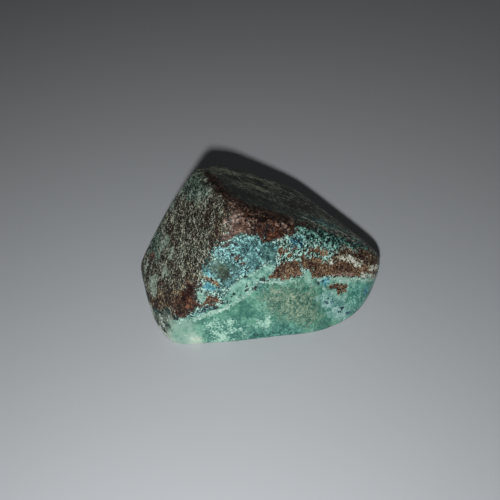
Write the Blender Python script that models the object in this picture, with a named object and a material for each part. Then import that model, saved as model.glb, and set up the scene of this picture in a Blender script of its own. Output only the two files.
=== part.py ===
"""A tumbled pebble of plancheite, made as one closed solid that rests on a flat base.

A broken lump that has been tumbled keeps the flat faces it broke along, with rounded edges between
them. So the pebble is drawn here as named facets: it is the room inside all of them, with the
edges blended. +X runs along its length, -Y is the bright front face, and +Z is up. The origin is
the middle of its box, on the base.
"""

import math

import bmesh
import bpy
import numpy as np
from mathutils import Vector, noise

MM = 0.001

# How high the heart of the pebble lies above its base, in mm. Facets are measured from the heart.
HEART_HEIGHT = 7.0

# Each facet's bearing (degrees round from +X), its tilt (degrees above the horizon that it
# faces) and its distance from the heart in mm.
FACETS = {
    "left": (-159, 39, 11.7),
    "front": (-84, 23, 10.0),
    "front_right": (-61, 37, 8.7),
    "right_end": (-31, 8, 16.9),
    "back_top": (52, 58.5, 7.65),
    "far_slope": (37, 54.5, 7.4),
    "back_left": (140, 10, 13.4),
    "back": (88, 4.5, 12.5),
    "back_right": (43.5, 8, 12.8),
    "corner_left": (-130, 31, 13.6),
    "left_low": (-168, -38, 18.3),
    "back_low": (78, -30, 13.3),
    "right_low": (15, -40, 16.9),
    "underside": (0, -90, 7.3),
}
# How softly neighbouring facets blend, in mm. The edges come out about twice as round as this.
EDGE_BLEND = 0.7

# Broad bumps and hollows that the tumbling left: place from the middle of the base, radius and
# height, all in mm. A hollow has a height below 0.
SWELLS = {
    "left_edge_bump": ((-14.0, 0.5, 9.0), 7.0, 0.4),
    "peak_flat": ((-3.5, 8.0, 15.0), 4.5, -0.2),
}
# The fainter unevenness all over.
WAVE_LENGTH = 7.0
WAVE_HEIGHT = 0.12

# The mesh starts as a ball of 20,480 triangles, stretched to about the pebble's shape so that the
# triangles come out even. Decimating it then keeps the triangles that the edges need.
BALL_SUBDIVISIONS = 6
STRETCH = (19.0, 14.5, 9.5)
KEPT_SHARE = 0.25
# No ray from the heart to the surface is longer than this, in mm.
LONGEST_REACH = 40.0
HALVINGS = 30

STONE_COLOUR = (0.16, 0.33, 0.27, 1.0)
STONE_ROUGHNESS = 0.35


def clear_scene():
    for obj in list(bpy.data.objects):
        bpy.data.objects.remove(obj, do_unlink=True)


def facet_normal(bearing, tilt):
    bearing, tilt = math.radians(bearing), math.radians(tilt)
    level = math.cos(tilt)
    return (level * math.cos(bearing), level * math.sin(bearing), math.sin(tilt))


def outside_by(points):
    """How far the points, measured from the heart, lie outside the blended facets."""
    normals = np.array([facet_normal(bearing, tilt) for bearing, tilt, _ in FACETS.values()])
    distances = np.array([distance for _, _, distance in FACETS.values()])
    over = (points @ normals.T - distances) / EDGE_BLEND
    most = over.max(axis=1, keepdims=True)
    return EDGE_BLEND * (most[:, 0] + np.log(np.exp(over - most).sum(axis=1)))


def facet_surface(rays):
    """Where rays from the heart meet the blended facets, found by halving the reach."""
    near = np.zeros(len(rays))
    far = np.full(len(rays), LONGEST_REACH)
    for _ in range(HALVINGS):
        middle = (near + far) / 2
        inside = outside_by(rays * middle[:, None]) < 0
        near = np.where(inside, middle, near)
        far = np.where(inside, far, middle)
    return rays * near[:, None]


def swell_at(point):
    """How far the surface stands out at a point, in mm, beyond the plain facets."""
    height = WAVE_HEIGHT * noise.noise(point / WAVE_LENGTH)
    for place, radius, rise in SWELLS.values():
        height += rise * math.exp(-(((point - Vector(place)).length / radius) ** 2))
    return height


def shape_stone(mesh):
    """Moves the vertices of the stretched ball out to the pebble's surface."""
    heart = np.array([0.0, 0.0, HEART_HEIGHT])
    rays = np.array([vertex.co for vertex in mesh.verts]) * STRETCH
    rays /= np.linalg.norm(rays, axis=1, keepdims=True)
    for vertex, ray, point in zip(mesh.verts, rays, facet_surface(rays) + heart):
        place = Vector(point)
        place += Vector(ray) * swell_at(place)
        place.z = max(place.z, 0.0)
        vertex.co = place * MM


def centre_on_box(mesh):
    """Slides the pebble so that the middle of its box is over the origin."""
    for axis in (0, 1):
        lowest = min(vertex.co[axis] for vertex in mesh.verts)
        highest = max(vertex.co[axis] for vertex in mesh.verts)
        for vertex in mesh.verts:
            vertex.co[axis] -= (lowest + highest) / 2


def stone_material():
    material = bpy.data.materials.new("plancheite")
    material.use_nodes = True
    shader = material.node_tree.nodes["Principled BSDF"]
    shader.inputs["Base Color"].default_value = STONE_COLOUR
    shader.inputs["Roughness"].default_value = STONE_ROUGHNESS
    return material


def make_stone():
    mesh = bmesh.new()
    bmesh.ops.create_icosphere(mesh, subdivisions=BALL_SUBDIVISIONS, radius=1.0)
    shape_stone(mesh)
    centre_on_box(mesh)
    bmesh.ops.recalc_face_normals(mesh, faces=mesh.faces)
    data = bpy.data.meshes.new("stone")
    mesh.to_mesh(data)
    mesh.free()
    data.shade_smooth()
    data.materials.append(stone_material())
    stone = bpy.data.objects.new("stone", data)
    bpy.context.scene.collection.objects.link(stone)
    thin_out = stone.modifiers.new("thin_out", "DECIMATE")
    thin_out.ratio = KEPT_SHARE


clear_scene()
make_stone()
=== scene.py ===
"""The looks of the tumbled plancheite: a fine mesh of the pebble with its mineral bands.

Lengths are in mm until a mesh or an object is placed, and the facets are those of part.py. A
zone of mineral is drawn on the facet that shows it, in that facet's own axes: u runs level to
the right, as seen from outside, and v runs up the slope, both from the point of the facet
nearest the heart of the pebble. Each vertex keeps how deep it lies in the zones of each mineral,
and the material turns that into colour, gloss and relief.
"""

import math
from statistics import NormalDist

import bmesh
import bpy
import numpy as np
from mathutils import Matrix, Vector, noise


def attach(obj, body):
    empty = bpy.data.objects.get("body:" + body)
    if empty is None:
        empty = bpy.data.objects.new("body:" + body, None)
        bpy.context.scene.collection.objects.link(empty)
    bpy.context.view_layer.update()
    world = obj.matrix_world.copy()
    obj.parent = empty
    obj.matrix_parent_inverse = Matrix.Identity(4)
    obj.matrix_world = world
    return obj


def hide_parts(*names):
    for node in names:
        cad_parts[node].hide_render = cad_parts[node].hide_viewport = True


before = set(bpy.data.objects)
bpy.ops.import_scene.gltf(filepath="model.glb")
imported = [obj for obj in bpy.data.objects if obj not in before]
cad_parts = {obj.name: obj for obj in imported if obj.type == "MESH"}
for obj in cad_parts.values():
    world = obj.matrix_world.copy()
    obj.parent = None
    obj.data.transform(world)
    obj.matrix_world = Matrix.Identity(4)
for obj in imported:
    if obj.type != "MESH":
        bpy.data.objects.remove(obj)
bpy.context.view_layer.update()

MM = 0.001

# ---------------------------------------------------------------- the pebble's form, as in part.py
# How high the heart of the pebble lies above its base. Facets are measured from the heart.
HEART_HEIGHT = 7.0
# Each facet's bearing (degrees round from +X), its tilt (degrees above the horizon that it
# faces) and its distance from the heart.
FACETS = {
    "left": (-159, 39, 11.7),
    "front": (-84, 23, 10.0),
    "front_right": (-61, 37, 8.7),
    "right_end": (-31, 8, 16.9),
    "back_top": (52, 58.5, 7.65),
    "far_slope": (37, 54.5, 7.4),
    "back_left": (140, 10, 13.4),
    "back": (88, 4.5, 12.5),
    "back_right": (43.5, 8, 12.8),
    "corner_left": (-130, 31, 13.6),
    "left_low": (-168, -38, 18.3),
    "back_low": (78, -30, 13.3),
    "right_low": (15, -40, 16.9),
    "underside": (0, -90, 7.3),
}
# How softly neighbouring facets blend. The edges come out about twice as round as this.
EDGE_BLEND = 0.7
# Broad bumps and hollows: place from the middle of the base, radius and height.
SWELLS = {
    "left_edge_bump": ((-14.0, 0.5, 9.0), 7.0, 0.4),
    "peak_flat": ((-3.5, 8.0, 15.0), 4.5, -0.2),
}
# The fainter unevenness all over.
WAVE_LENGTH = 7.0
WAVE_HEIGHT = 0.12
# The mesh starts as a cube with this many cuts along each edge. Its corners become rays from the
# heart, stretched to about the pebble's shape so that the faces come out even.
CUBE_CUTS = 127
STRETCH = (19.0, 14.5, 9.5)
# No ray from the heart to the surface is longer than this.
LONGEST_REACH = 40.0
HALVINGS = 30

# ---------------------------------------------------------------- zones of mineral
# The seam between the mixed upper minerals and the green below, on the front facet.
SEAM = [
    (-19, -8.4), (-15.5, -7.7), (-13, -7.0), (-11.5, -6.6), (-10.4, -6.0), (-9, -5.4), (-7.4, -5.1),
    (-6.4, -4.5), (-5, -4.0), (-3.4, -3.3), (-2.2, -2.5), (-1.2, -2.1), (0.4, -1.95), (2.6, -2.1),
    (5, -2.4), (6.4, -2.95), (8, -3.6), (10, -3.9), (12, -4.2), (14, -4.7), (16, -5.3), (20, -7.2),
]
# The green goes back round the pebble to this distance in front of the heart.
SEAM_DEPTH = 3.5

# Areas are closed outlines.
AREAS = {
    ("front", "red"): [
        [(-5.4, 12), (-2.6, 11), (-0.6, 9.8), (1.4, 8.3), (3.0, 6.8), (4.3, 5.4),
         (4.4, 3.9), (3.5, 3.5), (3.1, 4.3), (2.4, 3.7), (1.5, 3.6), (0.3, 3.4), (-0.4, 3.7),
         (-0.8, 4.5), (-1.9, 5.0), (-3.0, 5.4), (-3.7, 5.5), (-4.6, 5.1), (-5.2, 4.6), (-5.6, 4.8),
         (-4.9, 6.6), (-4.6, 8.2)],
    ],
    ("front", "pink"): [
        [(-5.2, 5.0), (-4.8, 6.8), (-3.6, 7.5), (-2.6, 7.0), (-1.8, 6.2), (-2.1, 5.6), (-3.3, 5.8)],
    ],
    ("front", "clay"): [
        [(-1.9, 6.6), (-0.4, 6.2), (1.5, 6.2), (2.7, 4.9), (3.2, 3.9), (1.9, 3.6), (0.2, 3.3),
         (-0.4, 4.4), (-1.8, 5.2)],
        [(-11.2, -1.4), (-10.2, -1.7), (-10.0, -2.5), (-9.9, -3.6), (-9.6, -4.4), (-9.4, -4.8),
         (-10.4, -5.2), (-11.0, -6.0), (-11.9, -6.6), (-13.0, -6.8), (-13.8, -6.2), (-12.9, -4.9),
         (-11.9, -3.5)],
    ],
    ("front", "turquoise"): [
        [(-5.4, 4.6), (-4.7, 4.9), (-3.7, 5.4), (-3.0, 5.3), (-1.9, 4.9), (-0.8, 4.5), (-0.3, 3.6),
         (0.9, 3.6), (2.1, 3.6), (1.9, 2.7), (1.4, 2.1), (1.6, 0.9), (1.4, 0.1), (0.2, 1.0),
         (-0.7, 0.6), (-2.5, -0.3), (-4.5, -1.1), (-4.9, -1.9), (-5.9, -2.1), (-6.9, -1.7),
         (-7.1, -0.7), (-8.5, -0.1), (-9.0, -0.1), (-8.8, 0.7), (-8.3, 1.2), (-7.1, 1.6),
         (-6.2, 2.0), (-7.0, 2.4), (-7.3, 3.1), (-6.9, 3.8), (-6.1, 4.2)],
        [(-11.4, -6.8), (-10.7, -5.8), (-9.9, -5.2), (-8.8, -4.7), (-7.4, -4.8), (-7.2, -5.4),
         (-8.3, -5.8), (-9.5, -6.3), (-10.5, -6.7)],
        [(3.2, 3.5), (4.0, 4.0), (5.0, 3.6), (6.0, 3.2), (5.8, 2.4), (5.2, 1.6), (4.4, 1.6),
         (3.8, 2.4)],
    ],
    ("front", "sea"): [
        [(-3.9, 4.2), (-2.6, 4.7), (-1.3, 3.8), (-0.8, 2.4), (-1.1, 1.2), (-2.2, 0.4), (-3.2, 1.2),
         (-3.3, 2.4)],
        [(-6.2, -0.8), (-4.8, 0.0), (-3.8, -0.4), (-4.6, -1.2), (-5.8, -1.8)],
    ],
    ("front", "mint"): [
        [(-4.9, -1.9), (-3.5, -0.9), (-1.6, 0.0), (-0.4, 0.5), (0.4, 0.9), (1.4, 0.1), (1.2, -0.5),
         (0.3, -1.1), (0.9, -1.8), (-0.8, -1.5), (-2.3, -2.5), (-3.0, -3.4), (-4.4, -4.0),
         (-5.8, -4.5), (-6.6, -3.9), (-6.0, -2.7)],
        [(5.2, -1.5), (6.5, -1.5), (6.6, -2.7), (9.4, -3.4), (12.0, -4.1), (14.3, -4.6), (17.8, -6.2),
         (17.3, -6.7), (14.6, -5.2), (13.0, -5.1), (12.5, -5.7), (12.4, -6.9), (11.4, -7.2),
         (10.2, -6.6), (8.9, -5.6), (7.4, -4.1), (6.3, -4.0), (5.4, -3.0)],
    ],
    ("front", "pearl"): [
        [(-14.4, -7.6), (-11.4, -7.0), (-10.4, -7.6), (-10.9, -8.4), (-10.2, -9.8), (-9.4, -10.8),
         (-10.4, -12.5), (-14.6, -12.5)],
    ],
    ("front", "teal"): [
        [(5.0, 5.4), (6.4, 5.0), (9, 3.8), (12, 2.4), (14, 1.2), (15.6, 0.2), (17.2, -1.2),
         (16.8, -2.0), (15.6, -1.5), (14.6, -0.8), (13.4, -0.8), (12.9, 0.0), (11.5, 0.0),
         (10, 0.4), (9, 0.9), (8, 1.8), (6.6, 2.4), (5.6, 3.2), (4.6, 4.0)],
    ],
    ("front", "brown"): [
        [(0.2, -1.3), (0.8, -0.5), (1.6, 0.2), (2.4, 0.6), (3.4, 0.4), (4.3, 0.6), (4.8, -0.1),
         (5.0, -1.2), (4.9, -2.1), (4.1, -1.9), (3.2, -2.1), (1.8, -1.9), (0.9, -1.6)],
        [(5.0, -0.9), (5.0, 0.1), (5.8, 0.4), (6.8, 0.2), (7.8, -0.2), (8.7, -1.0), (9.6, -1.6),
         (10.7, -1.6), (11.4, -1.4), (12.4, -1.4), (13.0, -2.2), (13.7, -2.9), (15.0, -3.2),
         (16.4, -4.0), (17.8, -4.8), (17.8, -5.9), (16.2, -5.0), (15.2, -4.7), (13.6, -4.3),
         (12, -3.9), (10.7, -3.6), (9.1, -3.2), (7.5, -3.0), (6.6, -2.7), (6.5, -1.6)],
        [(9.3, -4.4), (10.9, -4.6), (12.4, -5.0), (12.4, -5.5), (11.8, -5.8), (11.1, -6.4),
         (10.5, -6.0), (10.2, -5.4), (9.3, -5.1)],
        [(-8.8, -3.3), (-7.8, -3.2), (-7.3, -3.6), (-6.6, -4.1), (-7.2, -4.5), (-8.3, -4.6),
         (-9.7, -4.7), (-9.4, -4.1)],
        [(-9.2, -0.1), (-8.3, -0.2), (-7.6, -0.5), (-6.9, -0.7), (-6.8, -1.4), (-7.6, -1.6),
         (-8.1, -1.1), (-9.0, -0.6)],
    ],
    ("front", "fawn"): [
        [(9.0, -1.2), (10, -0.1), (11.3, 0.1), (12.9, 0.1), (13.8, -0.5), (15, -0.6), (16.5, -1.7),
         (18.2, -3), (18.2, -6.2), (15, -4.7), (12, -3.8), (9, -3.0)],
    ],
    ("front", "umber"): [
        [(10.0, -0.6), (10.5, 0.0), (11.3, -0.3), (11.8, 0.1), (12.8, -0.2), (12.7, -1.1),
         (11.9, -1.0), (11.1, -0.4)],
        [(13.2, -1.3), (13.8, -0.8), (14.5, -0.7), (15.2, -1.2), (15.2, -2.0), (14.5, -1.9)],
        [(15.2, -2.6), (15.6, -1.9), (16.9, -1.9), (18.4, -3.2), (18.4, -4.3), (16.8, -3.9),
         (16.0, -3.3)],
        [(16.0, -4.3), (16.8, -4.4), (18.0, -5.0), (17.8, -5.8), (16.6, -5.0)],
    ],
    ("front", "ivory"): [
        [(13.0, -2.0), (13.7, -1.9), (14.4, -2.2), (15.4, -2.3), (14.7, -2.8), (14.0, -3.2),
         (13.5, -2.6)],
        [(11.0, -0.7), (11.8, -1.0), (12.4, -1.3), (11.9, -1.5), (11.2, -1.3)],
        [(12.1, -0.9), (13.1, -1.0), (13.4, -1.8), (12.5, -1.9)],
        [(15.8, -3.7), (16.4, -3.5), (18.0, -4.4), (17.7, -4.8), (16.2, -4.2)],
        [(9.5, -1.0), (10.6, -1.4), (10.3, -1.8), (9.6, -1.7)],
        [(14.8, -4.2), (16.4, -4.8), (17.8, -5.7), (17.6, -6.2), (16.0, -5.2), (14.6, -4.5)],
    ],
    ("front", "olive"): [
        [(-7.7, 1.5), (-6.3, 1.6), (-5.0, 0.9), (-5.1, -0.5), (-6.4, -0.8), (-7.1, 0.2)],
    ],
    ("front", "haze"): [
        [(-0.4, 3.3), (0.9, 3.3), (1.5, 2.3), (1.4, 0.7), (0.4, 0.9), (-0.4, 1.6)],
        [(-8.2, 1.9), (-7.0, 2.1), (-4.6, 1.8), (-4.4, 0.9), (-5.5, 1.0), (-6.7, 0.8), (-8.5, 0.9)],
    ],
    ("front", "sky"): [
        [(-9.2, -1.4), (-8.6, -1.0), (-8.0, -1.4), (-7.0, -2.0), (-7.8, -2.4), (-8.7, -2.2)],
    ],
    ("front", "cream"): [
        [(-10.0, -2.5), (-8.9, -2.3), (-8.8, -3.1), (-9.0, -3.8), (-9.4, -4.3), (-9.8, -3.6)],
    ],
    ("front", "beige"): [
        [(-0.9, -3.0), (0.6, -2.6), (3.2, -2.8), (5.4, -3.8), (7.2, -4.7), (7.6, -6.2), (7.9, -8.8),
         (6.3, -10), (3.9, -9.3), (1.6, -8.3), (0.4, -6.8), (-0.7, -5.4)],
    ],
    ("front", "frost"): [
        [(-9.1, -7.4), (-6.4, -7.0), (-4.6, -7.4), (-3.2, -8.4), (-3.0, -9.6), (-4.0, -12),
         (-9.6, -12), (-9.5, -9.9)],
        [(-1.7, -8.2), (-1.4, -7.2), (-0.5, -6.9), (0.5, -7.4), (0.8, -8.6), (0.4, -9.7), (-0.5, -10.1),
         (-1.5, -9.5)],
    ],
    ("front", "jade"): [
        [(12.6, -5.1), (13.6, -5.4), (15.3, -5.7), (17.6, -6.6), (17.2, -8.0), (15.4, -9.0),
         (13.4, -9.8), (12.2, -8.9), (12.0, -7.6), (12.5, -6.6)],
    ],
    ("front", "deep"): [
        [(-3.2, -9.7), (-1.9, -9.5), (-0.2, -9.9), (1.0, -9.0), (2.4, -9.0), (3.8, -9.6), (5.2, -10.6),
         (4.8, -12), (-3, -12)],
    ],
    ("front", "icy"): [
        [(7.4, -5.7), (9.1, -5.6), (10.4, -6.5), (11.5, -7.2), (11.9, -8.2), (12.7, -9.4),
         (12.3, -10.6), (10.8, -10.4), (9.5, -9.4), (8.6, -7.7)],
    ],
    ("left", "flake"): [
        [(-4, -6.3), (-3.2, -6.1), (-2.4, -6.3), (-2.2, -7.0), (-2.6, -7.8), (-2.7, -8.8), (-3.5, -8.8),
         (-3.8, -8.0), (-4.1, -7.2)],
        [(-5.1, 3.0), (-4.2, 2.6), (-3.5, 2.7), (-3.0, 1.5), (-3.8, 1.8), (-4.6, 2.3)],
        [(0, -8.9), (1.2, -8.9), (1.8, -9.3), (1.1, -10.0), (0.9, -10.8), (0.2, -10.5), (-0.2, -9.8)],
        [(-0.6, -11.4), (0.2, -11.7), (0.8, -12.5), (1.7, -13), (2, -13.6), (1.5, -14.2), (0.2, -14.0),
         (-0.8, -14.1), (-1.2, -13.2), (-1.0, -12.2)],
        [(-1.2, -6.2), (-0.4, -6.6), (-0.2, -7.6), (-0.6, -8.4), (-1.0, -7.4)],
        [(-4.2, -12.4), (-3.4, -12.8), (-2.8, -13.6), (-3.0, -14.2), (-3.6, -13.4)],
    ],
    ("left", "moss"): [
        [(-8.5, 4.8), (-6.5, 5.2), (-4.2, 5.4), (-2.2, 5.2), (-2.0, 3.4), (-3.2, 2.0), (-4.8, 0.2),
         (-7.5, -0.8), (-10, 0)],
        [(-10, 2), (-8, 1), (-7.4, -4), (-6.6, -7.6), (-4.6, -7.4), (-3.8, -9.0), (-2.6, -9.4),
         (-2.4, -10.2), (-4.4, -10.4), (-5.6, -12), (-7, -13), (-9.5, -9)],
    ],
    ("left", "rust"): [
        [(2.0, 4.6), (2.9, 3.6), (3.7, 2.4), (4.5, 1.0), (4.3, 0.2), (3.4, 1.6), (2.7, 3.0)],
        [(0.2, -13.4), (1.2, -12.2), (2.6, -11.4), (4.0, -9.8), (4.8, -7.8), (5.3, -5.8), (6.2, -4.8),
         (7.0, -6.8), (7.0, -11.2), (6.0, -11.9), (5, -12.6), (4.6, -13.8), (3.6, -14.8), (2, -15.2)],
    ],
    ("left", "clay"): [
        [(5.2, -10.0), (5.7, -8.0), (6.0, -6.2), (7.0, -6.6), (7.2, -8.8), (6.9, -11.4), (5.8, -11.6)],
    ],
    ("left", "hem"): [
        [(1.5, -15.6), (3.4, -15.0), (4.6, -14.4), (5.1, -13.5), (5.6, -12.6), (6.6, -12.4),
         (7.4, -12.1), (7.7, -13), (8.1, -14), (8.5, -15), (9, -17), (-8, -17.5), (-7, -15.8)],
    ],
    ("back_top", "ash"): [
        [(-16, 15), (-5, 11), (7, 9), (13, 4), (16, -5), (12, -14), (-1, -17), (-22, -12)],
    ],
    ("back_top", "soot"): [
        [(9.6, 5.6), (7, 7.2), (4.5, 8.8), (2.2, 9.8), (0.1, 9.3), (-1.6, 7.7), (-3.7, 5.3), (-5.9, 2.7),
         (-7.2, 0.6), (-6.4, -1.4), (-4, -1.2), (-1.5, 0.2), (0.6, 1.9), (2.5, 3.5), (4.5, 4.4),
         (7.8, 4.2)],
    ],
    ("back_top", "teal"): [
        [(-4.4, 0.4), (-7.6, -1.9), (-10.5, -5.2), (-10.1, -7.4), (-7.9, -6.6), (-5.4, -3.9)],
        [(-11.2, -5), (-13.2, -7.1), (-12.7, -8.5), (-10.9, -7)],
    ],
    ("back_top", "moss"): [
        [(-5.8, 2.4), (-4.4, 0), (-4.1, -3.8), (-5, -8.4), (-7.7, -9.4), (-10.9, -9.8), (-14.2, -11.2),
         (-15, -7.8), (-12.6, -5.1), (-9.8, -2.5), (-7.5, 0.2)],
    ],
}
# Blobs are ovals: the middle's u and v, the two half-widths and the turn in degrees.
BLOBS = {
    ("front", "aqua"): [
        (-6.1, 3.3, 1.0, 0.9, 0), (-4.3, 4.2, 0.9, 0.6, 0), (-2.7, 2.9, 0.5, 0.9, 0),
        (-1.1, 3.3, 0.6, 0.9, 0), (-4.9, 2.1, 0.6, 0.4, 0), (-2.3, 4.8, 0.8, 0.35, 0),
        (-3.2, 0.4, 0.5, 0.4, 0), (-8.2, 0.9, 0.5, 0.4, 0), (4.0, 3.5, 0.5, 0.3, 0),
    ],
    ("front", "haze"): [(-1.0, -2.3, 0.6, 0.5, 0), (-6.7, -2.3, 0.35, 0.3, 0)],
    ("front", "sky"): [
        (-8.1, 0.3, 0.45, 0.3, 10), (8.6, -3.7, 0.7, 0.45, 0), (15.4, -7.2, 0.4, 0.6, 0),
    ],
    ("front", "brown"): [
        (2.3, 2.1, 0.75, 0.6, 0), (4.1, 2.1, 0.4, 0.25, 0), (3.4, 1.2, 0.4, 0.3, 0),
        (5.3, 0.5, 0.7, 0.35, 0), (7.2, 1.0, 0.9, 0.3, -10), (8.6, 0.2, 0.45, 0.35, 0),
        (-4.2, 2.4, 0.4, 0.35, 0), (-3.5, 1.5, 0.4, 0.25, -50), (12.0, 0.3, 0.5, 0.3, 0),
    ],
    ("front", "sand"): [(2.8, -4.6, 1.3, 0.7, -20), (3.9, -6.6, 1.2, 0.5, -35), (0.9, -3.9, 0.8, 0.5, 0)],
    ("front", "blue"): [
        (4.4, 2.9, 0.28, 0.4, 0), (5.2, 2.2, 0.28, 0.35, 0), (3.8, 2.3, 0.2, 0.2, 0),
        (8.6, -3.7, 0.35, 0.28, 0), (8.9, -6.7, 0.25, 0.22, 0), (9.7, -6.9, 0.25, 0.2, 0),
        (12.3, -9.6, 0.35, 0.3, 0), (11.3, -8.4, 0.2, 0.2, 0), (10.8, -8.9, 0.15, 0.15, 0),
    ],
    ("front", "dark"): [
        (-3.0, -2.6, 0.25, 0.2, 0), (-3.0, -1.9, 0.2, 0.2, 0), (-2.0, -2.5, 0.4, 0.22, 40),
        (-0.8, -1.6, 0.42, 0.22, 0), (-5.8, -4.4, 0.22, 0.18, 0), (-7.6, -5.1, 0.4, 0.15, 0),
        (-5.3, -3.4, 0.2, 0.2, 0), (-4.9, -3.2, 0.25, 0.2, 0), (-8.8, -2.8, 0.18, 0.18, 0),
        (7.2, -3.6, 0.55, 0.22, 0), (9.5, 1.8, 0.4, 0.3, 0), (10.3, 1.2, 0.3, 0.25, 0),
        (6.5, 3.1, 0.3, 0.25, 0), (7.6, 3.5, 0.25, 0.25, 0), (8.2, 2.9, 0.25, 0.25, 0),
        (11.8, 0.9, 0.2, 0.3, 0), (13.9, 0.0, 0.4, 0.2, 0), (15.4, -0.6, 0.4, 0.2, -30),
    ],
    ("front", "blush"): [
        (-2.2, 6.2, 0.5, 0.35, 40), (1.8, 5.6, 0.25, 0.5, 10), (2.9, 5.3, 0.5, 0.25, -35),
        (2.1, 3.7, 0.25, 0.35, 0), (-1.6, 6.9, 0.5, 0.2, -20), (-4.1, 9.3, 0.35, 0.2, 0),
        (4.3, 5.4, 0.4, 0.2, 20), (-5.3, 7.3, 0.25, 0.25, 0),
    ],
    ("left", "flake"): [(-7.6, -3.6, 1.0, 0.5, 0), (-8.2, -1.0, 0.8, 0.5, 0), (-9.3, 0.2, 1.4, 0.4, 20)],
    ("left", "wine"): [
        (6.3, -10.4, 0.5, 0.9, 0), (1.6, -11.0, 0.5, 0.5, 0), (-3.8, -10.8, 0.6, 0.6, 0),
        (6.8, -5.8, 0.3, 0.7, 0),
    ],
    ("left", "dark"): [
        (7.1, -14.2, 0.45, 0.28, 0), (6.5, -14.6, 0.3, 0.3, 0), (6.6, -15.5, 0.7, 0.3, 10),
    ],
}
# Veins are lines with a half-width.
VEINS = {
    ("front", "wine"): [
        ([(-4.6, 10), (-3, 9.3), (-1.4, 8.6), (0.4, 7.6), (1.8, 6.7), (3, 6.1), (4.4, 5.6)], 0.5),
        ([(4.4, 5.4), (5.4, 4.9), (6.8, 4.2), (8, 3.5)], 0.25),
        ([(0.0, 5.6), (0.9, 6.2), (1.2, 5.2)], 0.2),
        ([(2.6, 5.0), (3.2, 4.4), (4.0, 4.1)], 0.3),
        ([(-9.8, -1.4), (-10.1, -2.2), (-10.5, -3.0)], 0.22),
        ([(-4.5, 9.6), (-4.8, 8.0), (-5.2, 6.4), (-5.7, 5.0)], 0.3),
        ([(-2.6, 5.6), (-1.8, 5.3)], 0.2),
    ],
    ("front", "blush"): [
        ([(-4.4, 7.3), (-3.6, 7.5), (-2.8, 7.4)], 0.18),
        ([(-4.3, 7.9), (-3.6, 8.0), (-2.8, 7.9)], 0.15),
        ([(10.0, -3.3), (11, -3.2), (12.0, -3.5), (13.1, -3.7)], 0.22),
    ],
    ("front", "cream"): [
        ([(-14, -7.7), (-12.7, -7.3), (-11.4, -7.0), (-9.9, -6.6)], 0.25),
        ([(-9.9, -6.6), (-8.4, -6.1), (-7, -5.6)], 0.4),
        ([(-7, -5.6), (-5.5, -5.0), (-4.1, -4.2), (-2.9, -3.5), (-2.3, -3.0)], 0.25),
        ([(0.2, -2.1), (2, -2.4), (3.5, -2.5), (4.7, -2.7)], 0.16),
        ([(7.6, -3.3), (9.4, -3.6), (12, -4.3), (14.3, -4.9), (16, -5.6)], 0.22),
    ],
    ("back_top", "wine"): [([(9.1, 5.4), (7, 6.7), (4.5, 8.2), (2.2, 9.2), (0.1, 8.8), (-1.6, 7.2)], 0.8)],
    ("back_top", "ivory"): [
        ([(-3.1, -9.3), (-4.2, -9.5), (-5.5, -8.6)], 0.14), ([(-8.9, -5.3), (-10.6, -5.6)], 0.14),
        ([(-8.6, -4.3), (-10.1, -4.6), (-12.2, -5.9)], 0.14), ([(9.2, 0), (7.8, -1.6)], 0.1),
        ([(-5.3, -0.3), (-7.3, -1.6), (-8.9, -2.7)], 0.1), ([(-10.9, -7), (-12.4, -7.9)], 0.12),
    ],
    ("left", "wine"): [
        ([(-5, 5.2), (-2.6, 5.6), (-0.6, 5.9), (1.4, 5.9), (2.8, 5.4), (4.0, 4.5), (4.6, 3.6)], 0.45),
        ([(4.6, 3.6), (5.1, 2.5), (5.6, 1.4)], 0.3),
    ],
    ("left", "dark"): [
        ([(3.2, -15.0), (4, -14.8), (4.6, -14.4), (5.0, -13.8), (5.0, -13.0), (5.5, -12.5), (6.2, -12.7),
          (7.2, -12.1)], 0.2),
    ],
}
# On the hidden sides minerals lie in patches of this size, and a patch is rarer as the second number grows.
HIDDEN_PATCHES = {"moss": (8.0, 0.05), "rust": (6.5, 0.15), "flake": (5.0, 0.3), "turquoise": (7.5, 0.25)}
# A facet's drawings reach this far past its edges.
FACET_REACH = 1.2
# A facet's drawings run on over the facets grouped with it. The hidden sides are a group too.
FACET_GROUPS = {
    "front": ("front", "front_right", "right_end"),
    "left": ("left", "corner_left", "left_low"),
    "back_top": ("back_top", "far_slope"),
    "hidden": ("back", "back_left", "back_right", "back_low", "right_low", "left_low", "underside"),
}
# How zone edges wander: the length and the height of each size of wave, and the seed. Without a
# seed the noise would differ from run to run.
WANDER = ((1.6, 0.22), (0.55, 0.12))
WANDER_SEED = 1
# Before its zones are drawn, a mineral is this deep everywhere, which is well outside them.
FAR_OUTSIDE = -5.0

# ---------------------------------------------------------------- the minerals, from the lowest layer up
def look(
    low, high, pale, dark, grain=0.3, cloud=2.2, gather=0.25, slim=1.0, swirl=0.8, ragged=0.15,
    soft=0.06, relief=0.03, rough=0.4, sunk=0.0,
):
    """How a mineral looks.

    Its ground drifts between two colours, low and high, over a distance of cloud mm. Pale flecks
    and dark flecks of grain mm lie on it, each a colour and the share of the surface that it
    covers; they are slim times as tall as they are wide, swirl says how curled they are, and
    gather says how far the clouds draw them together. Its edge strays by ragged mm and fades over
    soft mm. Relief is the height of its flecks in mm, rough is how dull it is, and sunk is how far
    below the polish it lies, in mm.
    """
    return locals()


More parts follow.
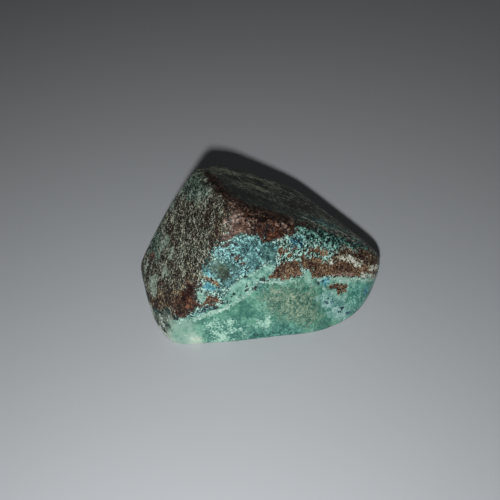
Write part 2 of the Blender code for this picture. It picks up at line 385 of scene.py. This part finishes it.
LOOKS = {
    "host": look((0.064, 0.040, 0.023), (0.080, 0.103, 0.070), ((0.54, 0.56, 0.43), 0.12),
                 ((0.008, 0.005, 0.003), 0.37), grain=0.4, slim=1.9, swirl=1.3, relief=0.07, rough=0.5),
    "front": look((0.085, 0.200, 0.165), (0.215, 0.320, 0.260), ((0.50, 0.82, 0.72), 0.28),
                  ((0.010, 0.016, 0.012), 0.31), cloud=1.0, ragged=0.2),
    "green": look((0.072, 0.242, 0.174), (0.143, 0.372, 0.263), ((0.23, 0.50, 0.39), 0.10),
                  ((0.042, 0.17, 0.13), 0.12), grain=0.5, cloud=1.7, gather=0.5, ragged=0.1, soft=0.15,
                  relief=0.006, rough=0.3),
    "moss": look((0.023, 0.050, 0.036), (0.068, 0.134, 0.096), ((0.44, 0.60, 0.48), 0.12),
                 ((0.008, 0.015, 0.011), 0.30), grain=0.42, slim=1.8, swirl=1.3, ragged=0.6, soft=0.3,
                 relief=0.07, rough=0.5),
    "rust": look((0.045, 0.018, 0.007), (0.080, 0.042, 0.020), ((0.46, 0.38, 0.24), 0.14),
                 ((0.009, 0.004, 0.002), 0.34), grain=0.4, slim=1.9, swirl=1.3, ragged=0.5, soft=0.3,
                 relief=0.07, rough=0.5, sunk=0.03),
    "ash": look((0.052, 0.057, 0.045), (0.185, 0.200, 0.155), ((0.50, 0.53, 0.41), 0.14),
                ((0.014, 0.016, 0.012), 0.26), grain=0.4, cloud=2.6, gather=0.3, slim=0.5, swirl=1.0,
                ragged=0.5, soft=0.3, relief=0.04, rough=0.5),
    "soot": look((0.020, 0.023, 0.020), (0.048, 0.060, 0.050), ((0.20, 0.22, 0.18), 0.05),
                 ((0.010, 0.012, 0.010), 0.20), grain=0.4, slim=0.45, ragged=0.5, soft=1.0, relief=0.05,
                 rough=0.5),
    "hem": look((0.12, 0.150, 0.118), (0.29, 0.35, 0.285), ((0.56, 0.64, 0.56), 0.16),
                ((0.03, 0.045, 0.038), 0.12), grain=0.5, cloud=1.5, gather=0.4, ragged=0.12, relief=0.02),
    "flake": look((0.24, 0.32, 0.25), (0.37, 0.46, 0.37), ((0.58, 0.68, 0.57), 0.12),
                  ((0.06, 0.08, 0.06), 0.12), ragged=0.22),
    "teal": look((0.026, 0.125, 0.097), (0.085, 0.26, 0.21), ((0.36, 0.66, 0.57), 0.17),
                 ((0.005, 0.013, 0.011), 0.38), grain=0.38, cloud=1.2, gather=0.4, ragged=0.35,
                 relief=0.04),
    "red": look((0.016, 0.0065, 0.004), (0.078, 0.032, 0.017), ((0.29, 0.18, 0.125), 0.10),
                ((0.006, 0.0025, 0.0015), 0.26), grain=0.38, cloud=1.1, gather=0.5, slim=0.4, ragged=0.12,
                relief=0.04, sunk=0.03),
    "pink": look((0.044, 0.0175, 0.0095), (0.112, 0.056, 0.034), ((0.35, 0.23, 0.17), 0.09),
                 ((0.018, 0.007, 0.005), 0.12), grain=0.45, cloud=1.0, gather=0.6, slim=0.5, ragged=0.3,
                 soft=0.3, relief=0.02),
    "clay": look((0.022, 0.0054, 0.0016), (0.064, 0.0165, 0.0058), ((0.22, 0.105, 0.055), 0.09),
                 ((0.007, 0.002, 0.001), 0.26), grain=0.36, cloud=0.9, gather=0.5, ragged=0.25, soft=0.25,
                 sunk=0.03),
    "turquoise": look((0.022, 0.094, 0.091), (0.097, 0.248, 0.228), ((0.32, 0.67, 0.65), 0.19),
                      ((0.006, 0.017, 0.017), 0.30), grain=0.33, cloud=1.1, gather=0.35, ragged=0.25),
    "sea": look((0.032, 0.12, 0.125), (0.075, 0.21, 0.21), ((0.20, 0.45, 0.45), 0.12),
                ((0.012, 0.045, 0.050), 0.18), grain=0.4, gather=0.5, ragged=0.4, soft=0.5),
    "aqua": look((0.062, 0.210, 0.202), (0.135, 0.345, 0.332), ((0.41, 0.78, 0.76), 0.22),
                 ((0.007, 0.019, 0.020), 0.22), grain=0.36, cloud=0.9, gather=0.4, ragged=0.4),
    "mint": look((0.165, 0.375, 0.29), (0.28, 0.53, 0.43), ((0.43, 0.68, 0.57), 0.08),
                 ((0.07, 0.20, 0.17), 0.09), grain=0.5, cloud=1.4, gather=0.5, ragged=0.14, soft=0.25,
                 relief=0.006, rough=0.3),
    "pearl": look((0.260, 0.450, 0.360), (0.47, 0.64, 0.52), ((0.58, 0.70, 0.57), 0.08),
                  ((0.20, 0.38, 0.30), 0.02), grain=0.8, cloud=3.2, gather=0.8, ragged=0.2, soft=0.6,
                  relief=0.006, rough=0.3),
    "beige": look((0.072, 0.182, 0.130), (0.155, 0.262, 0.182), ((0.30, 0.43, 0.31), 0.14),
                  ((0.036, 0.108, 0.082), 0.20), grain=0.27, cloud=1.0, gather=0.3, ragged=0.6, soft=1.2,
                  relief=0.006, rough=0.3),
    "sand": look((0.15, 0.28, 0.195), (0.25, 0.37, 0.26), ((0.42, 0.52, 0.38), 0.18),
                 ((0.05, 0.14, 0.11), 0.16), cloud=0.8, gather=0.4, ragged=0.6, soft=0.5, relief=0.006,
                 rough=0.3),
    "frost": look((0.088, 0.28, 0.210), (0.182, 0.42, 0.325), ((0.46, 0.72, 0.59), 0.26),
                  ((0.045, 0.17, 0.135), 0.18), grain=0.32, cloud=1.3, gather=0.6, ragged=0.4, soft=0.4,
                  relief=0.006, rough=0.3),
    "deep": look((0.026, 0.145, 0.118), (0.068, 0.230, 0.188), ((0.15, 0.41, 0.34), 0.12),
                 ((0.014, 0.09, 0.075), 0.14), grain=0.5, cloud=1.2, gather=0.4, ragged=0.3, soft=0.8,
                 relief=0.006, rough=0.3),
    "jade": look((0.07, 0.26, 0.20), (0.13, 0.37, 0.29), ((0.28, 0.58, 0.48), 0.14),
                 ((0.04, 0.17, 0.14), 0.14), grain=0.35, cloud=1.2, gather=0.4, ragged=0.2, soft=0.2,
                 relief=0.006, rough=0.3),
    "icy": look((0.16, 0.36, 0.31), (0.26, 0.48, 0.43), ((0.42, 0.66, 0.62), 0.14),
                ((0.08, 0.23, 0.21), 0.12), grain=0.4, cloud=1.2, gather=0.5, ragged=0.4, soft=0.4,
                relief=0.006, rough=0.3),
    "haze": look((0.026, 0.096, 0.092), (0.088, 0.200, 0.180), ((0.19, 0.38, 0.35), 0.08),
                 ((0.022, 0.070, 0.070), 0.10), grain=0.5, cloud=0.9, gather=0.5, ragged=0.4, soft=0.45,
                 relief=0.01, rough=0.35),
    "fawn": look((0.055, 0.026, 0.012), (0.160, 0.108, 0.062), ((0.46, 0.41, 0.28), 0.12),
                 ((0.014, 0.005, 0.0025), 0.28), grain=0.27, cloud=0.9, gather=0.5, ragged=0.3, soft=0.15,
                 relief=0.04, sunk=0.03),
    "olive": look((0.020, 0.044, 0.026), (0.046, 0.093, 0.058), ((0.13, 0.20, 0.15), 0.10),
                  ((0.015, 0.025, 0.018), 0.14), ragged=0.2, soft=0.45, sunk=0.03),
    "brown": look((0.084, 0.037, 0.0165), (0.162, 0.082, 0.038), ((0.37, 0.27, 0.16), 0.14),
                  ((0.020, 0.007, 0.003), 0.24), grain=0.27, cloud=1.2, ragged=0.2, relief=0.05, sunk=0.06),
    "umber": look((0.038, 0.017, 0.009), (0.112, 0.056, 0.030), ((0.42, 0.33, 0.22), 0.10),
                  ((0.006, 0.003, 0.002), 0.34), ragged=0.16, relief=0.05, sunk=0.08),
    "wine": look((0.019, 0.0085, 0.0055), (0.056, 0.027, 0.016), ((0.18, 0.11, 0.08), 0.10),
                 ((0.005, 0.003, 0.002), 0.30), ragged=0.2, soft=0.12, relief=0.06, rough=0.5, sunk=0.05),
    "blush": look((0.125, 0.070, 0.048), (0.23, 0.145, 0.108), ((0.46, 0.36, 0.30), 0.18),
                  ((0.06, 0.028, 0.019), 0.15), slim=0.6, ragged=0.14, soft=0.12),
    "cream": look((0.27, 0.47, 0.38), (0.38, 0.60, 0.50), ((0.58, 0.79, 0.70), 0.14),
                  ((0.12, 0.26, 0.21), 0.07), ragged=0.12, soft=0.1, relief=0.01, rough=0.35),
    "ivory": look((0.33, 0.35, 0.26), (0.54, 0.56, 0.45), ((0.85, 0.87, 0.77), 0.28),
                  ((0.10, 0.09, 0.06), 0.10), cloud=1.0, ragged=0.16, relief=0.02),
    "sky": look((0.040, 0.23, 0.275), (0.078, 0.355, 0.43), ((0.32, 0.68, 0.74), 0.12),
                ((0.03, 0.12, 0.15), 0.08), cloud=1.0, ragged=0.12, soft=0.12, relief=0.02),
    "blue": look((0.014, 0.080, 0.115), (0.035, 0.145, 0.205), ((0.2, 0.5, 0.58), 0.14),
                 ((0.006, 0.022, 0.038), 0.32), ragged=0.18, sunk=0.04),
    "dark": look((0.010, 0.022, 0.020), (0.026, 0.055, 0.050), ((0.1, 0.2, 0.18), 0.08),
                 ((0.005, 0.010, 0.010), 0.30), ragged=0.12, sunk=0.16),
}
# Blender's noise lies about this middle, with this standard deviation.
NOISE_MIDDLE = 0.5
NOISE_SPREAD = 0.07
# Half the width of a fleck's soft edge, on the scale of the noise.
FLECK_EDGE = 0.015
# How strong the finer waves are in the flecks, as the noise node's roughness.
FLECK_ROUGHNESS = 0.6
# How far apart the noises of a mineral's clouds and flecks are read.
FLECK_SHIFT = 0.5
# The noise that makes zone edges ragged: the length, the detail and the roughness of its waves,
# and where it is read.
STRAY_SIZE = 0.45
STRAY_DETAIL = 3.0
STRAY_ROUGHNESS = 0.65
STRAY_SEED = 50.0

# A zone sinks to its full depth over this slope, and rough minerals have grains of this size.
SINK_SLOPE = 0.35
GRIT_SIZE = 0.7

# ---------------------------------------------------------------- camera, light and floor
# The camera looks down at its aim from this distance, tilted by this many degrees. Its lens is in
# mm for a 36 mm sensor, and nothing nearer to it than the clip start is drawn.
CAMERA_AIM = (-1.5, 4.7, 0.0)
CAMERA_TILT = 50.0
CAMERA_DISTANCE = 94.0
LENS = 40.3
CLIP_START = 5.0
# Each light's place, its width and its power in watts. Both lights face one point.
LIGHTS = {
    "key": ((-9, -89.2, 79), 6, 0.100),
    "fill": ((120, 160, 160), 200, 0.010),
}
LIGHT_AIM = (0, 0, 5)
WORLD_STRENGTH = 0.019
FLOOR_WIDTH = 3000.0
FLOOR_COLOUR = (0.55, 0.575, 0.6)
FLOOR_ROUGHNESS = 0.7


def facet_axes(name):
    """A facet's outward normal, its level axis to the right and its axis up the slope."""
    bearing, tilt = (math.radians(angle) for angle in FACETS[name][:2])
    level = math.cos(tilt)
    normal = np.array((level * math.cos(bearing), level * math.sin(bearing), math.sin(tilt)))
    right = np.array((-math.sin(bearing), math.cos(bearing), 0.0))
    return normal, right, np.cross(normal, right)


def facet_overs(points):
    """How far points, measured from the heart, lie beyond each facet's plane."""
    return {name: points @ facet_axes(name)[0] - FACETS[name][2] for name in FACETS}


def outside_by(points):
    """How far points lie outside the blended facets, and below 0 inside them."""
    over = np.stack(list(facet_overs(points).values()), axis=1) / EDGE_BLEND
    most = over.max(axis=1, keepdims=True)
    return EDGE_BLEND * (most[:, 0] + np.log(np.exp(over - most).sum(axis=1)))


def facet_surface(rays):
    """Where each ray from the heart meets the blended facets, found by halving."""
    near = np.zeros(len(rays))
    far = np.full(len(rays), LONGEST_REACH)
    for _ in range(HALVINGS):
        middle = (near + far) / 2
        inside = outside_by(rays * middle[:, None]) < 0
        near = np.where(inside, middle, near)
        far = np.where(inside, far, middle)
    return rays * near[:, None]


def swell_heights(points):
    heights = np.array([WAVE_HEIGHT * noise.noise(Vector(point) / WAVE_LENGTH) for point in points])
    for place, radius, rise in SWELLS.values():
        away = np.linalg.norm(points - np.array(place), axis=1)
        heights += rise * np.exp(-((away / radius) ** 2))
    return heights


# ---------------------------------------------------------------- zones
def distance_to_line(spots, line, closed=False):
    """How far each spot is from a run of straight stretches."""
    ends = line[1:] + line[:1] if closed else line[1:]
    nearest = np.full(len(spots), np.inf)
    for start, end in zip(line, ends):
        start, along = np.array(start), np.array(end) - np.array(start)
        share = np.clip((spots - start) @ along / (along @ along), 0, 1)
        nearest = np.minimum(nearest, np.linalg.norm(spots - start - share[:, None] * along, axis=1))
    return nearest


def inside_outline(spots, outline):
    """Whether each spot lies inside a closed outline, by how often a level line crosses it."""
    u, v = spots.T
    inside = np.zeros(len(spots), bool)
    for (u0, v0), (u1, v1) in zip(outline, outline[1:] + outline[:1]):
        if v0 != v1:
            crosses = (v0 > v) != (v1 > v)
            inside ^= crosses & (u < (u1 - u0) * (v - v0) / (v1 - v0) + u0)
    return inside


def area_depth(spots, outline):
    away = distance_to_line(spots, outline, closed=True)
    return np.where(inside_outline(spots, outline), away, -away)


def blob_depth(spots, blob):
    u, v, long_half, short_half, turn = blob
    turn = math.radians(turn)
    across = spots - np.array((u, v))
    x = across @ np.array((math.cos(turn), math.sin(turn)))
    y = across @ np.array((-math.sin(turn), math.cos(turn)))
    return (1 - np.hypot(x / long_half, y / short_half)) * min(long_half, short_half)


def vein_depth(spots, vein):
    line, half_width = vein
    return half_width - distance_to_line(spots, line)


def wander(points):
    """A small smooth shift of every point, so that zone edges aren't ruler-straight."""
    noise.seed_set(WANDER_SEED)
    shift = np.zeros_like(points)
    for wave, height in WANDER:
        shift += height * np.array([noise.noise_vector(Vector(point) / wave) for point in points])
    return shift


def facet_spots(points, facet):
    _, right, up = facet_axes(facet)
    return np.stack((points @ right, points @ up), axis=1)


def on_facet(overs, facet):
    """How far inside the drawing room of a facet each point lies."""
    group = FACET_GROUPS[facet]
    own = np.max([overs[name] for name in group], axis=0)
    others = np.max([overs[name] for name in overs if name not in group], axis=0)
    return own - others


def draw_zones(depths, overs, wandering):
    for shapes, depth_of in ((AREAS, area_depth), (BLOBS, blob_depth), (VEINS, vein_depth)):
        for (facet, mineral), drawings in shapes.items():
            spots = facet_spots(wandering, facet)
            room = on_facet(overs, facet) + FACET_REACH
            for drawing in drawings:
                depth = np.minimum(depth_of(spots, drawing), room)
                depths[mineral] = np.maximum(depths[mineral], depth)


def depth_below_seam(wandering):
    seam_u, seam_v = np.array(SEAM).T
    spots = facet_spots(wandering, "front")
    below = np.interp(spots[:, 0], seam_u, seam_v) - spots[:, 1]
    return np.minimum(below, wandering @ facet_axes("front")[0] - SEAM_DEPTH)


def patch_hidden_sides(depths, overs, wandering):
    hidden = on_facet(overs, "hidden")
    for seed, (mineral, (size, rarity)) in enumerate(HIDDEN_PATCHES.items()):
        places = (Vector(point) / size + Vector((seed, 0, 0)) for point in wandering)
        patches = np.array([noise.noise(place) for place in places])
        depth = np.minimum((patches - rarity) * size, hidden)
        depths[mineral] = np.maximum(depths[mineral], depth)


def zone_depths(points):
    """For each mineral, how deep each point lies in its zones, and below 0 outside them."""
    overs = facet_overs(points)
    wandering = points + wander(points)
    depths = {mineral: np.full(len(points), FAR_OUTSIDE) for mineral in LOOKS if mineral != "host"}
    draw_zones(depths, overs, wandering)
    depths["front"] = on_facet(facet_overs(wandering), "front")
    depths["green"] = depth_below_seam(wandering)
    patch_hidden_sides(depths, overs, wandering)
    return depths


def sunken_by(points, depths):
    """How far below the polished skin the minerals leave each point."""
    sunk = np.full(len(points), LOOKS["host"]["sunk"])
    grit = np.full(len(points), LOOKS["host"]["relief"])
    for mineral, depth in depths.items():
        share = np.clip(depth / SINK_SLOPE, 0, 1)
        sunk += share * (LOOKS[mineral]["sunk"] - sunk)
        grit += share * (LOOKS[mineral]["relief"] - grit)
    grains = np.array([noise.noise(Vector(point) / GRIT_SIZE) for point in points])
    return sunk + grit * (1 + grains) / 2


# ---------------------------------------------------------------- the mesh
def spread_rays(corners):
    """Directions from the heart for the cube's corners. The tangent evens out their angles."""
    rays = np.tan(corners * math.pi / 4) * STRETCH
    return rays / np.linalg.norm(rays, axis=1, keepdims=True)


def finished_points(plain, rays, depths):
    """The facets' surface, stood on its base, with its swells and its worn minerals."""
    points = plain + np.array((0.0, 0.0, HEART_HEIGHT))
    points += rays * (swell_heights(points) - sunken_by(points, depths))[:, None]
    points[:, 2] = np.maximum(points[:, 2], 0.0)
    points[:, :2] -= (points[:, :2].min(axis=0) + points[:, :2].max(axis=0)) / 2
    return points


def make_stone(material):
    mesh = bmesh.new()
    bmesh.ops.create_cube(mesh, size=2.0)
    bmesh.ops.subdivide_edges(mesh, edges=mesh.edges, cuts=CUBE_CUTS, use_grid_fill=True)
    rays = spread_rays(np.array([vertex.co for vertex in mesh.verts]))
    plain = facet_surface(rays)
    depths = zone_depths(plain)
    points = finished_points(plain, rays, depths)
    data = bpy.data.meshes.new("pebble")
    mesh.to_mesh(data)
    mesh.free()
    data.vertices.foreach_set("co", (points * MM).astype(np.float32).ravel())
    data.update()
    data.shade_smooth()
    for mineral, depth in depths.items():
        attribute = data.attributes.new(mineral, "FLOAT", "POINT")
        attribute.data.foreach_set("value", depth.astype(np.float32))
    data.materials.append(material)
    stone = bpy.data.objects.new("pebble", data)
    bpy.context.scene.collection.objects.link(stone)
    return stone


# ---------------------------------------------------------------- the material
class Nodes:
    """Short ways to add shader nodes. Each gives back the socket that the next one reads."""

    def __init__(self, tree):
        self.tree = tree
        place = tree.nodes.new("ShaderNodeTexCoord")
        scaled = tree.nodes.new("ShaderNodeVectorMath")
        scaled.operation = "SCALE"
        scaled.inputs["Scale"].default_value = 1 / MM
        tree.links.new(place.outputs["Object"], scaled.inputs[0])
        self.place = scaled.outputs[0]

    def put(self, socket, value):
        """Link a socket to another, or set it. A colour of three numbers gets its fourth here."""
        if isinstance(value, bpy.types.NodeSocket):
            self.tree.links.new(value, socket)
        elif isinstance(value, tuple) and len(value) == 3 and len(socket.default_value) == 4:
            socket.default_value = (*value, 1.0)
        else:
            socket.default_value = value

    def noise(self, size, seed, detail=2.0, roughness=0.5, swirl=0.0, slim=1.0):
        """Noise with waves of this size in mm. Another seed reads another part of it."""
        node = self.tree.nodes.new("ShaderNodeTexNoise")
        node.noise_dimensions = "4D"
        self.put(node.inputs["Vector"], self.place if slim == 1.0 else self.slimmed(slim))
        self.put(node.inputs["W"], seed)
        self.put(node.inputs["Scale"], 1 / size)
        self.put(node.inputs["Detail"], detail)
        self.put(node.inputs["Roughness"], roughness)
        self.put(node.inputs["Distortion"], swirl)
        return node.outputs[0]

    def slimmed(self, slim):
        """The place, squeezed so that what is drawn on it is slimmer along x."""
        node = self.tree.nodes.new("ShaderNodeVectorMath")
        node.operation = "MULTIPLY"
        self.put(node.inputs[0], self.place)
        self.put(node.inputs[1], (slim, 1.0, 1.0))
        return node.outputs[0]

    def math(self, operation, first, second, third=0.0):
        node = self.tree.nodes.new("ShaderNodeMath")
        node.operation = operation
        for socket, value in zip(node.inputs, (first, second, third)):
            self.put(socket, value)
        return node.outputs[0]

    def level(self, value, middle, half_width):
        """0 below the middle and 1 above it, with a smooth rise across twice the half-width."""
        node = self.tree.nodes.new("ShaderNodeMapRange")
        node.interpolation_type = "SMOOTHSTEP"
        self.put(node.inputs["Value"], value)
        self.put(node.inputs["From Min"], middle - half_width)
        self.put(node.inputs["From Max"], middle + half_width)
        return node.outputs[0]

    def mix(self, share, first, second):
        """Mix two colours. The node's colour sockets share their names, so they go by number."""
        node = self.tree.nodes.new("ShaderNodeMix")
        node.data_type = "RGBA"
        self.put(node.inputs[0], share)
        self.put(node.inputs[6], first)
        self.put(node.inputs[7], second)
        return node.outputs[2]

    def blend(self, share, first, second):
        """Mix two numbers."""
        node = self.tree.nodes.new("ShaderNodeMix")
        self.put(node.inputs[0], share)
        self.put(node.inputs[2], first)
        self.put(node.inputs[3], second)
        return node.outputs[0]

    def bump(self, height):
        node = self.tree.nodes.new("ShaderNodeBump")
        self.put(node.inputs["Distance"], MM)
        self.put(node.inputs["Height"], height)
        return node.outputs[0]

    def depth(self, mineral):
        node = self.tree.nodes.new("ShaderNodeAttribute")
        node.attribute_name = mineral
        return node.outputs["Fac"]


def mineral_layer(nodes, shape, seed):
    """A mineral's colour and its height in mm."""
    slim, gather = shape["slim"], shape["gather"]
    clouds = nodes.noise(shape["cloud"], seed, slim=slim)
    ground = nodes.mix(nodes.level(clouds, NOISE_MIDDLE, 2 * NOISE_SPREAD), shape["low"], shape["high"])
    flecks = nodes.noise(
        shape["grain"], seed + FLECK_SHIFT, roughness=FLECK_ROUGHNESS, swirl=shape["swirl"], slim=slim
    )
    flecks = nodes.math("MULTIPLY_ADD", clouds, gather, flecks)
    spread = NormalDist(NOISE_MIDDLE * (1 + gather), NOISE_SPREAD * math.hypot(1, gather))
    pale, pale_share = shape["pale"]
    dark, dark_share = shape["dark"]
    is_pale = nodes.level(flecks, spread.inv_cdf(1 - pale_share), FLECK_EDGE)
    is_not_dark = nodes.level(flecks, spread.inv_cdf(dark_share), FLECK_EDGE)
    colour = nodes.mix(is_not_dark, dark, nodes.mix(is_pale, ground, pale))
    rise = nodes.level(flecks, spread.mean, 2 * spread.stdev)
    return colour, nodes.math("MULTIPLY", rise, shape["relief"])


def edge_stray(nodes):
    """How far zone edges stray, in standard deviations of the noise."""
    waves = nodes.noise(STRAY_SIZE, STRAY_SEED, detail=STRAY_DETAIL, roughness=STRAY_ROUGHNESS)
    return nodes.math("DIVIDE", nodes.math("SUBTRACT", waves, NOISE_MIDDLE), NOISE_SPREAD)


def plancheite_material():
    material = bpy.data.materials.new("plancheite")
    material.use_nodes = True
    nodes = Nodes(material.node_tree)
    shader = material.node_tree.nodes["Principled BSDF"]
    stray = edge_stray(nodes)
    for seed, (mineral, shape) in enumerate(LOOKS.items()):
        layer, layer_height = mineral_layer(nodes, shape, float(seed))
        if mineral == "host":
            colour, height, rough = layer, layer_height, shape["rough"]
            continue
        depth = nodes.math("MULTIPLY_ADD", stray, shape["ragged"], nodes.depth(mineral))
        share = nodes.level(depth, 0.0, shape["soft"])
        colour = nodes.mix(share, colour, layer)
        height = nodes.blend(share, height, layer_height)
        rough = nodes.blend(share, rough, shape["rough"])
    nodes.put(shader.inputs["Base Color"], colour)
    nodes.put(shader.inputs["Roughness"], rough)
    nodes.put(shader.inputs["Normal"], nodes.bump(height))
    return material


def floor_material():
    material = bpy.data.materials.new("floor")
    material.use_nodes = True
    shader = material.node_tree.nodes["Principled BSDF"]
    shader.inputs["Base Color"].default_value = (*FLOOR_COLOUR, 1.0)
    shader.inputs["Roughness"].default_value = FLOOR_ROUGHNESS
    return material


def make_floor():
    bpy.ops.mesh.primitive_plane_add(size=FLOOR_WIDTH * MM, location=(0, 0, 0))
    floor = bpy.context.object
    floor.name = "floor"
    floor.data.materials.append(floor_material())


def aim(obj, target):
    obj.rotation_euler = (Vector(target) * MM - obj.location).to_track_quat("-Z", "Y").to_euler()


def make_camera():
    tilt = math.radians(CAMERA_TILT)
    data = bpy.data.cameras.new("camera")
    data.lens = LENS
    data.clip_start = CLIP_START * MM
    camera = bpy.data.objects.new("camera", data)
    bpy.context.scene.collection.objects.link(camera)
    back = CAMERA_DISTANCE * math.cos(tilt)
    camera.location = Vector((CAMERA_AIM[0], CAMERA_AIM[1] - back, CAMERA_DISTANCE * math.sin(tilt))) * MM
    aim(camera, CAMERA_AIM)
    bpy.context.scene.camera = camera


def make_light(name, place, width, power):
    data = bpy.data.lights.new(name, "AREA")
    data.size = width * MM
    data.energy = power
    light = bpy.data.objects.new(name, data)
    bpy.context.scene.collection.objects.link(light)
    light.location = Vector(place) * MM
    aim(light, LIGHT_AIM)


def make_world():
    world = bpy.data.worlds.new("studio")
    bpy.context.scene.world = world
    world.use_nodes = True
    background = world.node_tree.nodes["Background"]
    background.inputs["Color"].default_value = (1.0, 1.0, 1.0, 1.0)
    background.inputs["Strength"].default_value = WORLD_STRENGTH


stone = make_stone(plancheite_material())
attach(stone, "root")
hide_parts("stone")
make_floor()
make_camera()
for name, (place, width, power) in LIGHTS.items():
    make_light(name, place, width, power)
make_world()
bpy.context.scene.view_settings.view_transform = "Standard"
